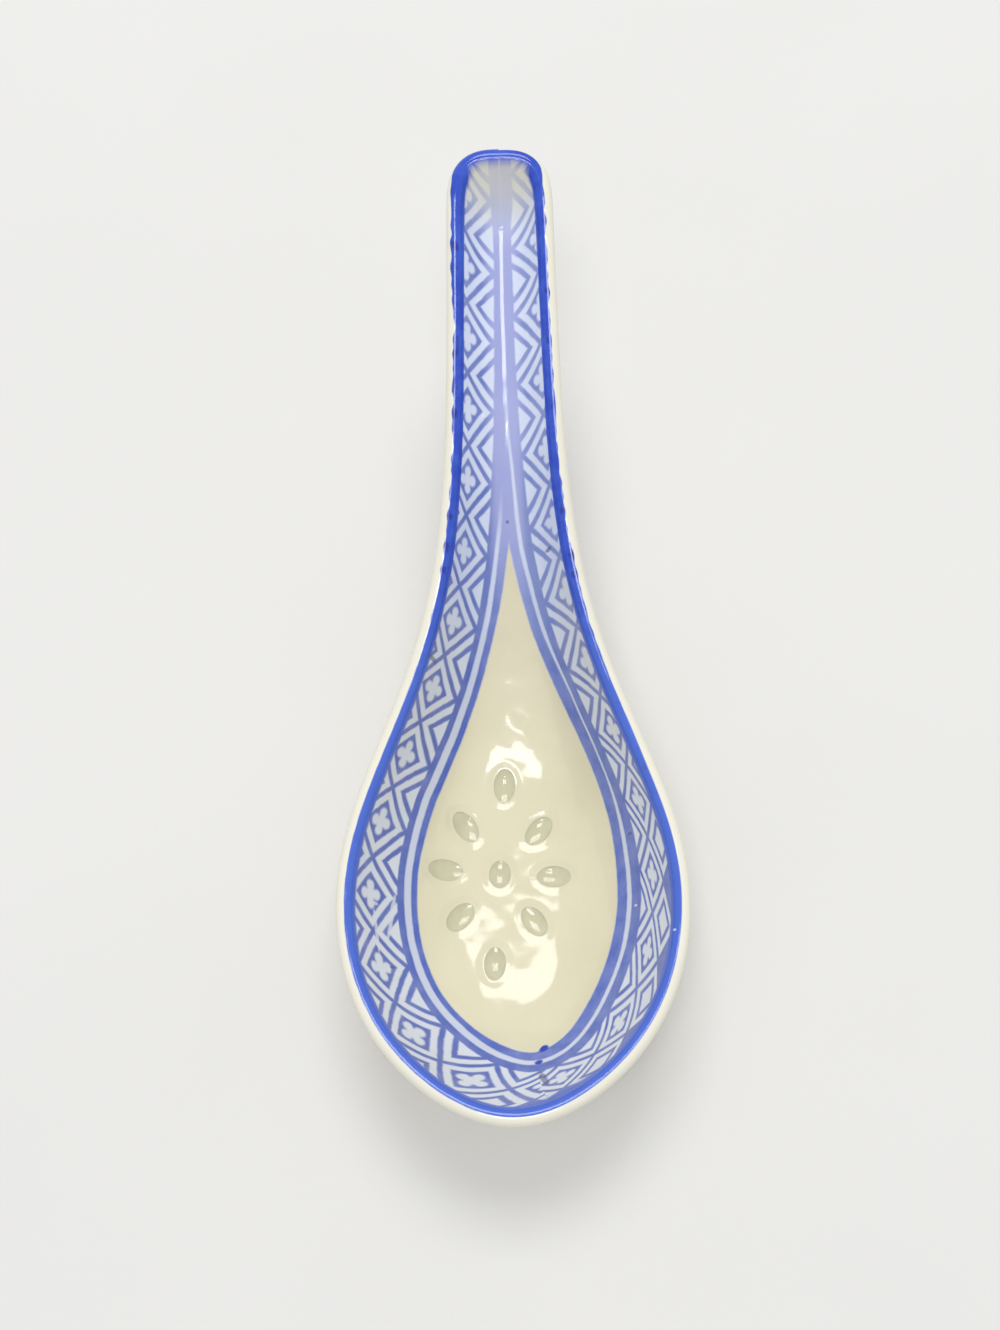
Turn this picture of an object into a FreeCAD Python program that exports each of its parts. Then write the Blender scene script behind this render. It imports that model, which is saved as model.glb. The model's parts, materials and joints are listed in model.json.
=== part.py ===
"""Porcelain soup spoon with a deep bowl, a channelled handle and glaze-filled rice-grain windows.

Frame, in millimetres: the foot stands on z = 0, +Z is up, the handle runs towards +Y and x = 0 is the
plane of symmetry of the potted shape. The body is one wall of even thickness that turns over a round lip,
with an oval foot ring under the bowl. Nine small holes are pierced straight down through its floor, and
each is filled with a slightly dished plug of clear glaze, a node of its own.
"""
import FreeCAD, Part
import math
import os

from FreeCAD import Vector

# ---------------------------------------------------------------- plan of the spoon
BOWL_WIDTH = 46.5            # widest place, over the lip
WIDEST_Y = -4.5              # where that is
TIP_REACH = 33.9             # from the origin forward to the tip
HANDLE_REACH = 91.8          # from the origin back to the end of the handle
TIP_SQUARING = 0.14          # how far the front departs from an ellipse towards a blunt point
SHOULDER_LENGTH = 30.5       # over which the bowl draws in to the handle
HANDLE_ROOT_WIDTH = 18.8     # width the handle would have at the widest place of the bowl
HANDLE_END_WIDTH = 14.0      # width at the free end
END_ROUNDING = 6.0           # length of the rounded closing wall at the free end
END_SQUARENESS = 3.5         # 2 would round that end like an ellipse

# ---------------------------------------------------------------- side view
RIM_HEIGHT = 18.2            # lowest place of the inner rim
RISE_START = 4.0             # y where the rim starts to climb towards the handle
RISE_RADIUS = 110.0          # bend between the bowl and the handle
HANDLE_SLOPE = 23.0          # degrees
FRONT_LIFT_RADIUS = 400.0    # the rim lifts a little again towards the tip
BOWL_DEPTH = 14.8            # from the rim to the floor
CHANNEL_DEPTH = 5.0          # the same in the handle
NECK_START = 12.0            # y where the bowl's depth starts to run out
NECK_END = 62.0              # y where it has become the channel's
BOWL_FULLNESS = 3.4          # power of the bowl's cross-section, larger is flatter with steeper walls
CHANNEL_FULLNESS = 2.0       # the same of the channel, 2 is a parabola

# ---------------------------------------------------------------- wall and foot
WALL = 2.4
FOOT_LENGTH = 39.6           # over the ring where it rests, with the origin in its middle
FOOT_WIDTH = 29.4
FOOT_RING_WIDTH = 1.9        # breadth of the resting face
FOOT_SPREAD = 10.0           # degrees by which the ring's outer side widens upwards

# ---------------------------------------------------------------- rice-grain windows
GRAIN_LENGTH = 4.7
GRAIN_WIDTH = 3.0
GRAIN_TIP_RADIUS = 0.9
CENTRE_GRAIN_LENGTH = 3.9
FLOWER_X = -2.2              # the flower of windows sits a little to the left, as pierced by hand
FLOWER_Y = 2.2
FLOWER_TURN = -3.5           # degrees, seen from above
SIDE_GRAIN_OUT = 7.5         # petals left and right of the centre one
DIAGONAL_GRAIN_X = 5.1
DIAGONAL_GRAIN_Y = 6.4
END_GRAIN_OUT = 12.6         # petals towards the handle and the tip
GLAZE_STEP = 0.15            # how far the glaze's edge lies under the wall's surface, on each side
GLAZE_DISH = 0.25            # how much deeper it sinks in the middle

# ---------------------------------------------------------------- fineness of the potted surface
RIM_STATIONS = 38            # sections of the wall along each side of the rim, an even number
RIM_CROWDING = 1.6           # more than 1 draws them together towards the sharp end of the handle
WALL_STATIONS = 9            # points down the inner side of a section, and again down the outer side
LIP_STATIONS = 6             # steps round the lip
SPINE_FRONT_INSET = 10.0     # the sections start from a spine that ends this far behind the tip
SPINE_END_INSET = 12.0       # and this far before the handle's end
TRACE_STEPS = 240            # fineness of measuring along a path
SLOPE_STEP = 0.01            # over which a slope is measured

LIP_RADIUS = WALL / 2
BORE_HEIGHT = 4 * WALL                                  # enough to pierce the wall wherever it slopes
WALL_LEAN = math.atan(BOWL_FULLNESS * BOWL_DEPTH / (BOWL_WIDTH / 2))
LIP_OVERHANG = LIP_RADIUS * (1 + math.sin(WALL_LEAN))   # from the inner rim out to the edge of the lip
BOWL_HALF = BOWL_WIDTH / 2 - LIP_OVERHANG
FRONT_LENGTH = TIP_REACH + WIDEST_Y - LIP_OVERHANG
END_START = HANDLE_REACH - LIP_OVERHANG - END_ROUNDING


def ease(t):
    """Smooth step from 0 to 1 as t goes from 0 to 1."""
    t = min(1.0, max(0.0, t))
    return t * t * (3 - 2 * t)


def rim_height(y):
    """Height of the inner rim: a slight lift at the tip, the low bowl, a bend and the straight handle."""
    slope = math.radians(HANDLE_SLOPE)
    bend_end = RISE_START + RISE_RADIUS * math.sin(slope)
    if y <= RISE_START:
        return RIM_HEIGHT + FRONT_LIFT_RADIUS - math.sqrt(FRONT_LIFT_RADIUS ** 2 - (y - RISE_START) ** 2)
    if y < bend_end:
        return RIM_HEIGHT + RISE_RADIUS - math.sqrt(RISE_RADIUS ** 2 - (y - RISE_START) ** 2)
    return RIM_HEIGHT + RISE_RADIUS * (1 - math.cos(slope)) + (y - bend_end) * math.tan(slope)


def half_width(y):
    """Half the width of the inner rim at y, before the ends close."""
    if y < WIDEST_Y:
        forward = (WIDEST_Y - y) / FRONT_LENGTH
        return BOWL_HALF * (1 - TIP_SQUARING * forward ** 4)
    along = (y - WIDEST_Y) / (HANDLE_REACH - WIDEST_Y)
    handle = (HANDLE_ROOT_WIDTH * (1 - along) + HANDLE_END_WIDTH * along) / 2 - LIP_OVERHANG
    return handle + (BOWL_HALF - handle) * math.exp(-((y - WIDEST_Y) / SHOULDER_LENGTH) ** 2)


def neck_blend(bowl_value, handle_value, y):
    """A value that passes from the bowl's to the handle's over the neck."""
    return bowl_value + (handle_value - bowl_value) * ease((y - NECK_START) / (NECK_END - NECK_START))


def rim_share(x, y):
    """0 along the middle of the floor and 1 on the inner rim."""
    across = abs(x) / half_width(y)
    if y > END_START:
        beyond = (y - END_START) / END_ROUNDING
        return (across ** END_SQUARENESS + beyond ** END_SQUARENESS) ** (1 / END_SQUARENESS)
    forward = max(0.0, (WIDEST_Y - y) / FRONT_LENGTH)
    return math.hypot(across, forward)


def floor_height(x, y):
    """Height of the inner surface."""
    depth = neck_blend(BOWL_DEPTH, CHANNEL_DEPTH, y)
    fullness = neck_blend(BOWL_FULLNESS, CHANNEL_FULLNESS, y)
    return rim_height(y) - depth * (1 - rim_share(x, y) ** fullness)


def floor_point(x, y):
    return Vector(x, y, floor_height(x, y))


def outward(x, y):
    """Unit normal of the inner surface, pointing out through the wall."""
    ahead, behind = floor_height(x, y + SLOPE_STEP), floor_height(x, y - SLOPE_STEP)
    right, left = floor_height(x + SLOPE_STEP, y), floor_height(x - SLOPE_STEP, y)
    return Vector(right - left if x else 0.0, ahead - behind, -2 * SLOPE_STEP).normalize()


def rim_at(travel):
    """Place in plan on the right half of the inner rim.

    travel runs from 0 at the tip to 1 at the widest place, 2 where the handle's end starts to close and
    3 at the end.
    """
    if travel < 1:
        turn = math.pi / 2 * travel
        y = WIDEST_Y - FRONT_LENGTH * math.cos(turn)
        return half_width(y) * math.sin(turn), y
    if travel < 2:
        y = WIDEST_Y + (END_START - WIDEST_Y) * (travel - 1)
        return half_width(y), y
    turn = math.pi / 2 * (travel - 2)
    y = END_START + END_ROUNDING * math.sin(turn) ** (2 / END_SQUARENESS)
    return half_width(y) * max(0.0, math.cos(turn)) ** (2 / END_SQUARENESS), y


def along_rim(travel):
    """Direction of the inner rim."""
    return floor_point(*rim_at(travel + SLOPE_STEP)) - floor_point(*rim_at(travel - SLOPE_STEP))


def paced(path, end, stations, pace):
    """Values from 0 to end at which a path has covered the shares of its length that pace asks for.

    pace(t, length) gives the share wanted at t, from 0 to 1, on a path of that length.
    """
    values = [end * k / TRACE_STEPS for k in range(TRACE_STEPS + 1)]
    points = [path(value) for value in values]
    covered = [0.0]
    for a, b in zip(points, points[1:]):
        covered.append(covered[-1] + math.dist(a, b))
    chosen = []
    k = 0
    for station in range(stations):
        wanted = covered[-1] * pace(station / stations, covered[-1])
        while covered[k + 1] < wanted:
            k += 1
        within = (wanted - covered[k]) / (covered[k + 1] - covered[k])
        chosen.append(values[k] + within * (values[k + 1] - values[k]))
    return chosen + [end]


def down_wall(rim, spine_y, drop):
    """Place in plan, as drop goes from 0 on the rim to 1 on the middle of the floor."""
    return rim[0] * (1 - drop), rim[1] + (spine_y - rim[1]) * drop


def wall_stations(rim, spine_y):
    """Places in plan down one section: close together next to the lip, wider towards the floor."""
    start = WALL_STATIONS * math.pi * LIP_RADIUS / LIP_STATIONS

    def pace(t, length):
        return (start * t + (length - start) * t * t) / length

    drops = paced(lambda drop: tuple(floor_point(*down_wall(rim, spine_y, drop))), 1, WALL_STATIONS, pace)
    return [down_wall(rim, spine_y, drop) for drop in drops]


def layer(places, depth):
    """Points at a depth into the wall from its inner side."""
    return [floor_point(*place) + outward(*place) * depth for place in places]


def wall_section(rim, spine_y, along):
    """One section of the wall: up the inner side from the floor, over the lip, down the outer side.

    rim is the section's place on the inner rim, spine_y where it starts on the middle of the floor, and
    along the direction of the rim there.
    """
    places = wall_stations(rim, spine_y)
    across = outward(*rim)
    upward = across.cross(along).normalize()
    if upward.z < 0:
        upward = -upward
    middle = floor_point(*rim) + across * LIP_RADIUS
    lip = []
    for k in range(1, LIP_STATIONS):
        turn = math.pi * k / LIP_STATIONS
        lip.append(middle - across * (LIP_RADIUS * math.cos(turn)) + upward * (LIP_RADIUS * math.sin(turn)))
    return layer(places[::-1], 0) + lip + layer(places, WALL)


def right_sections():
    """Sections of the wall from the tip to the handle's end. The first and the last lie in x = 0."""
    def covered(t):
        return 1 - (1 - t) ** RIM_CROWDING

    travels = paced(rim_at, 3, RIM_STATIONS, lambda t, length: covered(t))
    tip_y, end_y = rim_at(0)[1], rim_at(3)[1]
    spine_start, spine_end = tip_y + SPINE_FRONT_INSET, end_y - SPINE_END_INSET
    sections = [wall_section((0.0, tip_y), spine_start, Vector(1, 0, 0))]
    for k in range(1, RIM_STATIONS):
        spine_y = spine_start + (spine_end - spine_start) * covered(k / RIM_STATIONS)
        sections.append(wall_section(rim_at(travels[k]), spine_y, along_rim(travels[k])))
    return sections + [wall_section((0.0, end_y), spine_end, Vector(1, 0, 0))]


def contour(points):
    """Smooth line from the tip to the handle's end through the same point of every section, in two edges."""
    curve = Part.BSplineCurve()
    if all(point.x == 0 for point in points):
        curve.interpolate(Points=points, Parameters=[float(k) for k in range(len(points))])
    else:
        loop = points + [Vector(-point.x, point.y, point.z) for point in points[-2:0:-1]]
        curve.interpolate(Points=loop, Parameters=[float(k) for k in range(len(loop) + 1)], PeriodicFlag=True)
    halfway = float(RIM_STATIONS // 2)
    return curve.toShape(0.0, halfway), curve.toShape(halfway, float(RIM_STATIONS))


def mirrored(shape):
    return shape.mirror(Vector(0, 0, 0), Vector(1, 0, 0))


def potted_wall():
    """The spoon's wall as one closed solid, ruled from contour to contour and mirrored."""
    contours = [contour(list(points)) for points in zip(*right_sections())]
    strips = []
    for inner, outer in zip(contours, contours[1:]):
        strips += [Part.makeRuledSurface(a, b) for a, b in zip(inner, outer)]
    shell = Part.makeShell(strips + [mirrored(strip) for strip in strips])
    shell.sewShape()
    solid = Part.makeSolid(shell)
    if solid.Volume < 0:
        solid.reverse()
    return solid


def oval(length, width, z):
    """Elliptical wire, long along Y."""
    wire = Part.Wire([Part.Ellipse(Vector(0, 0, z), length / 2, width / 2).toShape()])
    wire.rotate(Vector(0, 0, z), Vector(0, 0, 1), 90)
    return wire


def add_foot(wall):
    """Join an oval ring, a little wider upwards, to the underside of the wall."""
    top = RIM_HEIGHT
    spread = top * math.tan(math.radians(FOOT_SPREAD))
    upper = oval(FOOT_LENGTH + 2 * spread, FOOT_WIDTH + 2 * spread, top)
    block = Part.makeLoft([oval(FOOT_LENGTH, FOOT_WIDTH, 0), upper], True, True)
    hole = Part.Face(oval(FOOT_LENGTH - 2 * FOOT_RING_WIDTH, FOOT_WIDTH - 2 * FOOT_RING_WIDTH, 0))
    ring = block.cut(hole.extrude(Vector(0, 0, top)))
    below = min(ring.cut(wall).Solids, key=lambda piece: piece.CenterOfMass.z)
    return wall.fuse(below)


def grain_outline(length):
    """Face of a rice grain, long along X: two long arcs joined by two tip arcs that meet them smoothly."""
    tip = GRAIN_TIP_RADIUS
    tip_centre = length / 2 - tip
    side = (tip_centre ** 2 + (GRAIN_WIDTH / 2) ** 2 - tip ** 2) / (GRAIN_WIDTH - 2 * tip)
    side_centre = side - GRAIN_WIDTH / 2
    reach = side / (side - tip)
    join_x = tip_centre * reach
    join_y = side_centre * (reach - 1)
    points = [
        (-join_x, join_y), (0, GRAIN_WIDTH / 2), (join_x, join_y), (length / 2, 0),
        (join_x, -join_y), (0, -GRAIN_WIDTH / 2), (-join_x, -join_y), (-length / 2, 0),
    ]
    ring = [Vector(x, y, 0) for x, y in points + points[:1]]
    arcs = [Part.Arc(*ring[k:k + 3]).toShape() for k in range(0, len(points), 2)]
    return Part.Face(Part.Wire(arcs))


def seat(at, heading, out):
    """Matrix that puts the origin at a point, with Z along out and X as near as can be to the heading."""
    along = Vector(math.cos(heading), math.sin(heading), 0)
    along = (along - out * along.dot(out)).normalize()
    side = out.cross(along)
    return FreeCAD.Matrix(
        along.x, side.x, out.x, at.x,
        along.y, side.y, out.y, at.y,
        along.z, side.z, out.z, at.z,
        0, 0, 0, 1,
    )


def grain_places():
    """Name, place, heading and length of each window of the flower."""
    petals = {
        "heel": (0, END_GRAIN_OUT),
        "heel_right": (DIAGONAL_GRAIN_X, DIAGONAL_GRAIN_Y),
        "right": (SIDE_GRAIN_OUT, 0),
        "toe_right": (DIAGONAL_GRAIN_X, -DIAGONAL_GRAIN_Y),
        "toe": (0, -END_GRAIN_OUT),
        "toe_left": (-DIAGONAL_GRAIN_X, -DIAGONAL_GRAIN_Y),
        "left": (-SIDE_GRAIN_OUT, 0),
        "heel_left": (-DIAGONAL_GRAIN_X, DIAGONAL_GRAIN_Y),
    }
    turn = math.radians(FLOWER_TURN)
    places = [("centre", FLOWER_X, FLOWER_Y, turn + math.pi / 2, CENTRE_GRAIN_LENGTH)]
    for name, (out_x, out_y) in petals.items():
        distance = math.hypot(out_x, out_y)
        heading = math.atan2(out_y, out_x) + turn
        x = FLOWER_X + distance * math.cos(heading)
        y = FLOWER_Y + distance * math.sin(heading)
        places.append((name, x, y, heading, GRAIN_LENGTH))
    return places


def dish(length):
    """Rounded trough, long along X, whose lowest line is the origin's X axis.

    It runs on past a window of this length by the height of the bore, so it spans the bore on any slope.
    """
    half = GRAIN_WIDTH / 2
    radius = (half ** 2 + GLAZE_DISH ** 2) / (2 * GLAZE_DISH)
    reach = length + BORE_HEIGHT
    return Part.makeCylinder(radius, 2 * reach, Vector(-reach, 0, radius), Vector(1, 0, 0))


def pierce(wall):
    """Pierce the windows through the wall and fill each one with its dished plug of glaze."""
    plugs = {}
    for name, x, y, heading, length in grain_places():
        at = floor_point(x, y)
        hole = grain_outline(length).extrude(Vector(0, 0, BORE_HEIGHT))
        hole.rotate(Vector(0, 0, 0), Vector(0, 0, 1), math.degrees(heading))
        hole.translate(Vector(at.x, at.y, at.z - (BORE_HEIGHT + WALL) / 2))
        sunk = GLAZE_STEP + GLAZE_DISH
        out = outward(x, y)
        inner_dish = dish(length).transformed(seat(at + out * sunk, heading, -out))
        outer_dish = dish(length).transformed(seat(at + out * (WALL - sunk), heading, out))
        plugs[name] = hole.cut(inner_dish).cut(outer_dish)
        wall = wall.cut(hole)
    return wall, plugs


def save(shape, node):
    shape.exportStep(os.path.join("parts", node + ".step"))


def main():
    os.makedirs("parts", exist_ok=True)
    body, plugs = pierce(add_foot(potted_wall()))
    save(body.Solids[0], "porcelain_body")
    for name, plug in plugs.items():
        save(plug.Solids[0], "glaze_window_" + name)


main()
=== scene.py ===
"""Blue-and-white porcelain soup spoon with rice-grain windows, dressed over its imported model.

Sizes are in millimetres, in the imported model's frame, and become metres where a mesh, a lamp or the
camera is placed. The potted body, its foot ring and the nine windows are built again here with fine,
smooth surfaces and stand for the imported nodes.
"""

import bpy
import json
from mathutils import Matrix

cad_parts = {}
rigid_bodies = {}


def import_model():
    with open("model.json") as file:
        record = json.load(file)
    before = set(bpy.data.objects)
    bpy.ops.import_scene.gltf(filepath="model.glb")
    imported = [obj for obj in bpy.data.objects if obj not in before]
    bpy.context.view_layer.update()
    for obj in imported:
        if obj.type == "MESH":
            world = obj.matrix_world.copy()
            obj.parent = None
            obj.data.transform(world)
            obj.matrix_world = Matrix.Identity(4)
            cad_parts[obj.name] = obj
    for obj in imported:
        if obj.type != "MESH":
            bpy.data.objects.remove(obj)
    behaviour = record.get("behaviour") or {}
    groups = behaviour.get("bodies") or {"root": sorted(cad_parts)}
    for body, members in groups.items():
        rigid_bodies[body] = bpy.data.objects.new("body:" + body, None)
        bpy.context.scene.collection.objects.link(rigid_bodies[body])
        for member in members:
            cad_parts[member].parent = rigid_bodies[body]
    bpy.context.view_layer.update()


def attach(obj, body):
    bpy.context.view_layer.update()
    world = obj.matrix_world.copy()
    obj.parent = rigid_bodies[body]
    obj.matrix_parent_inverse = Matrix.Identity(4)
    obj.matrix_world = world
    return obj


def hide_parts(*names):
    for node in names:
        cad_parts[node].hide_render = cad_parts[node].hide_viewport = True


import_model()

import json
import logging
import math
from dataclasses import dataclass, field
from enum import Enum

import bmesh
import bpy
import numpy as np
from mathutils import Matrix, Vector

LOG = logging.getLogger("soup_spoon")
MM = 0.001
MERGE = 1e-6
MIRROR_MERGE = 1e-7
TINY = 1e-12
GLAZE_IOR = 1.5


class Side(Enum):
    """Which half of the spoon a border belongs to, seen from above with the handle away."""

    LEFT = -1
    RIGHT = 1


# ---------------------------------------------------------------------------------------- the form
@dataclass(frozen=True)
class PottedForm:
    """The potted wall, in millimetres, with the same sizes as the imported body."""

    bowl_width: float = 46.5
    widest_y: float = -4.5
    tip_reach: float = 33.9
    handle_reach: float = 91.8
    tip_squaring: float = 0.14
    shoulder_length: float = 30.5
    handle_root_width: float = 18.8
    handle_end_width: float = 14.0
    end_rounding: float = 6.0
    end_squareness: float = 3.5
    rim_low: float = 18.2
    rise_start: float = 4.0
    rise_radius: float = 110.0
    handle_slope: float = math.radians(23.0)
    front_lift_radius: float = 400.0
    bowl_depth: float = 14.8
    channel_depth: float = 5.0
    neck_start: float = 12.0
    neck_end: float = 62.0
    bowl_fullness: float = 3.4
    channel_fullness: float = 2.0
    wall: float = 2.4
    normal_step: float = 0.01
    underside_passes: int = 8

    @property
    def lip_radius(self) -> float:
        """Radius of the round lip."""
        return self.wall / 2

    @property
    def lip_overhang(self) -> float:
        """Distance from the inner rim out to the edge of the lip."""
        lean = math.atan(self.bowl_fullness * self.bowl_depth / (self.bowl_width / 2))
        return self.lip_radius * (1 + math.sin(lean))

    @property
    def bowl_half(self) -> float:
        """Half the bowl's width on the inner rim."""
        return self.bowl_width / 2 - self.lip_overhang

    @property
    def front_length(self) -> float:
        """Length from the widest place forward to the inner rim's tip."""
        return self.tip_reach + self.widest_y - self.lip_overhang

    @property
    def end_start(self) -> float:
        """Where the handle's end starts to close."""
        return self.handle_reach - self.lip_overhang - self.end_rounding

    def rim_height(self, y: np.ndarray) -> np.ndarray:
        """Height of the inner rim over the floor that the spoon stands on.

        Args:
            y: places along the spoon.

        Returns:
            The height at each place.
        """
        lift, rise, slope = self.front_lift_radius, self.rise_radius, self.handle_slope
        past = y - self.rise_start
        bend = rise * math.sin(slope)
        front = lift - np.sqrt(lift ** 2 - np.minimum(past, 0) ** 2)
        neck = rise - np.sqrt(rise ** 2 - np.clip(past, 0, bend) ** 2)
        straight = np.maximum(past - bend, 0) * math.tan(slope)
        return self.rim_low + front + neck + straight

    def half_width(self, y: np.ndarray) -> np.ndarray:
        """Half the width of the inner rim before the ends close.

        Args:
            y: places along the spoon.

        Returns:
            The half width at each place.
        """
        forward = np.maximum(self.widest_y - y, 0) / self.front_length
        bowl = self.bowl_half * (1 - self.tip_squaring * forward ** 4)
        past = y - self.widest_y
        along = past / (self.handle_reach - self.widest_y)
        handle = (self.handle_root_width * (1 - along) + self.handle_end_width * along) / 2
        handle = handle - self.lip_overhang
        back = handle + (self.bowl_half - handle) * np.exp(-(past / self.shoulder_length) ** 2)
        return np.where(y < self.widest_y, bowl, back)

    def neck_blend(self, bowl: float, handle: float, y: np.ndarray) -> np.ndarray:
        """A value that passes smoothly from the bowl's to the handle's over the neck.

        Args:
            bowl: the value in the bowl.
            handle: the value in the handle.
            y: places along the spoon.

        Returns:
            The value at each place.
        """
        t = np.clip((y - self.neck_start) / (self.neck_end - self.neck_start), 0, 1)
        return bowl + (handle - bowl) * t * t * (3 - 2 * t)

    def rim_share(self, x: np.ndarray, y: np.ndarray) -> np.ndarray:
        """0 along the middle of the floor and 1 on the inner rim.

        Args:
            x: places across the spoon.
            y: places along the spoon.

        Returns:
            The share at each place.
        """
        across = np.abs(x) / self.half_width(y)
        beyond = np.maximum(y - self.end_start, 0) / self.end_rounding
        power = self.end_squareness
        end = (across ** power + beyond ** power) ** (1 / power)
        forward = np.maximum(self.widest_y - y, 0) / self.front_length
        return np.where(y > self.end_start, end, np.hypot(across, forward))

    def floor_height(self, x: np.ndarray, y: np.ndarray) -> np.ndarray:
        """Height of the inner surface.

        Args:
            x: places across the spoon.
            y: places along the spoon.

        Returns:
            The height at each place.
        """
        depth = self.neck_blend(self.bowl_depth, self.channel_depth, y)
        fullness = self.neck_blend(self.bowl_fullness, self.channel_fullness, y)
        return self.rim_height(y) - depth * (1 - self.rim_share(x, y) ** fullness)

    def floor_points(self, x: np.ndarray, y: np.ndarray) -> np.ndarray:
        """Points of the inner surface over plan places.

        Args:
            x: places across the spoon.
            y: places along the spoon.

        Returns:
            An array whose last axis is x, y, z.
        """
        return np.stack([x, y, self.floor_height(x, y)], axis=-1)

    def outward(self, x: np.ndarray, y: np.ndarray) -> np.ndarray:
        """Unit normals of the inner surface that point out through the wall.

        Args:
            x: places across the spoon.
            y: places along the spoon.

        Returns:
            An array whose last axis is x, y, z.
        """
        step = self.normal_step
        ahead = self.floor_height(x, y + step) - self.floor_height(x, y - step)
        across = self.floor_height(x + step, y) - self.floor_height(x - step, y)
        across = np.where(np.abs(x) < step / 2, 0.0, across)
        normal = np.stack([across, ahead, np.full_like(across, -2 * step)], axis=-1)
        return normal / np.linalg.norm(normal, axis=-1, keepdims=True)

    def rim_at(self, travel: np.ndarray) -> np.ndarray:
        """Plan places on the right half of the inner rim.

        Args:
            travel: 0 at the tip, 1 at the widest place, 2 where the end starts to close, 3 at the end.

        Returns:
            An array whose last axis is x, y.
        """
        turn = math.pi / 2 * np.clip(travel, 0, 1)
        front_y = self.widest_y - self.front_length * np.cos(turn)
        front = np.stack([self.half_width(front_y) * np.sin(turn), front_y], axis=-1)
        side_y = self.widest_y + (self.end_start - self.widest_y) * np.clip(travel - 1, 0, 1)
        side = np.stack([self.half_width(side_y), side_y], axis=-1)
        turn = math.pi / 2 * np.clip(travel - 2, 0, 1)
        power = 2 / self.end_squareness
        end_y = self.end_start + self.end_rounding * np.sin(turn) ** power
        closing = np.maximum(np.cos(turn), 0) ** power
        end = np.stack([self.half_width(end_y) * closing, end_y], axis=-1)
        stage = travel[..., None]
        return np.where(stage < 1, front, np.where(stage < 2, side, end))

    def underside(self, x: np.ndarray, y: np.ndarray) -> np.ndarray:
        """Height of the wall's outer side under the bowl.

        Args:
            x: places across the spoon.
            y: places along the spoon.

        Returns:
            The height at each place.
        """
        near_x, near_y = x, y
        for _ in range(self.underside_passes):
            normal = self.outward(near_x, near_y)
            near_x, near_y = x - normal[..., 0] * self.wall, y - normal[..., 1] * self.wall
        return self.floor_height(near_x, near_y) + self.outward(near_x, near_y)[..., 2] * self.wall


def paced(points: np.ndarray, shares: np.ndarray) -> np.ndarray:
    """Where a path has covered the wanted shares of its length.

    Args:
        points: points of the path, evenly spaced in its parameter from 0 to 1.
        shares: shares of the length, from 0 to 1.

    Returns:
        The parameter at each share.
    """
    steps = np.linalg.norm(np.diff(points, axis=0), axis=1)
    covered = np.concatenate([[0.0], np.cumsum(steps)])
    return np.interp(shares * covered[-1], covered, np.linspace(0, 1, len(points)))


def arc_lengths(points: np.ndarray) -> np.ndarray:
    """Length covered up to each point of a path.

    Args:
        points: the path's points in order.

    Returns:
        The length from the first point to each one.
    """
    return np.concatenate([[0.0], np.cumsum(np.linalg.norm(np.diff(points, axis=0), axis=1))])


# -------------------------------------------------------------------------------- the printed border
@dataclass(frozen=True)
class TeardropLine:
    """One half of a line that follows the bowl at some way in and runs on up the handle, in plan."""

    widest: float
    widest_y: float
    front: float
    handle: float
    shoulder: float
    shoulder_power: float
    front_fullness: float = 0.5
    toe_shift: float = 0.0
    front_stations: int = 160
    pitch: float = 0.3

    def points(self, side: Side, end_y: float) -> np.ndarray:
        """Plan points from the toe to the handle's end.

        Args:
            side: the half of the spoon.
            end_y: where the line ends on the handle.

        Returns:
            An array of x, y rows.
        """
        turn = np.linspace(0, math.pi / 2, self.front_stations)
        forward = np.cos(turn)
        width = self.widest * (1 - forward ** 2) ** self.front_fullness
        shift = self.toe_shift * np.clip(2 * forward - 1, 0, 1) ** 2
        front = np.stack([side.value * width + shift, self.widest_y - self.front * forward], axis=-1)
        y = np.arange(self.widest_y + self.pitch, end_y, self.pitch)
        fall = np.exp(-((y - self.widest_y) / self.shoulder) ** self.shoulder_power)
        width = self.handle + (self.widest - self.handle) * fall
        return np.concatenate([front, np.stack([side.value * width, y], axis=-1)])


@dataclass(frozen=True)
class FlowerRow:
    """Where the flowers of one half follow each other along the border's middle line, from the toe."""

    first: float
    pitch: float
    tightening: float
    lean_flowers: tuple
    leans: tuple

    def count(self, travel: np.ndarray) -> np.ndarray:
        """Flowers passed at a travel along the middle line.

        Args:
            travel: millimetres from the toe along this half.

        Returns:
            0 at the first flower, 1 at the next and so on.
        """
        root = np.sqrt(self.pitch ** 2 - 4 * self.tightening * (travel - self.first))
        return (self.pitch - root) / (2 * self.tightening)

    def lean(self, count: np.ndarray) -> np.ndarray:
        """How far the hand-laid print leans along the border for each repeat across it."""
        return np.interp(count, self.lean_flowers, self.leans)


@dataclass(frozen=True)
class RuledLines:
    """The two blue lines round the well in one half, at places along the spoon."""

    y: tuple
    edge: tuple
    gap: tuple
    half_gap: tuple
    lattice: tuple

    def at(self, y: np.ndarray) -> np.ndarray:
        """The lines' edges as distances outward from the planned edge of the well.

        Args:
            y: places along the spoon.

        Returns:
            Rows of the well's edge, the white gap's start and end, and where the lattice starts.
        """
        edge, gap, half, lattice = (
            np.interp(y, self.y, values) for values in (self.edge, self.gap, self.half_gap, self.lattice)
        )
        return np.column_stack([edge, gap - half, gap + half, lattice])


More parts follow.
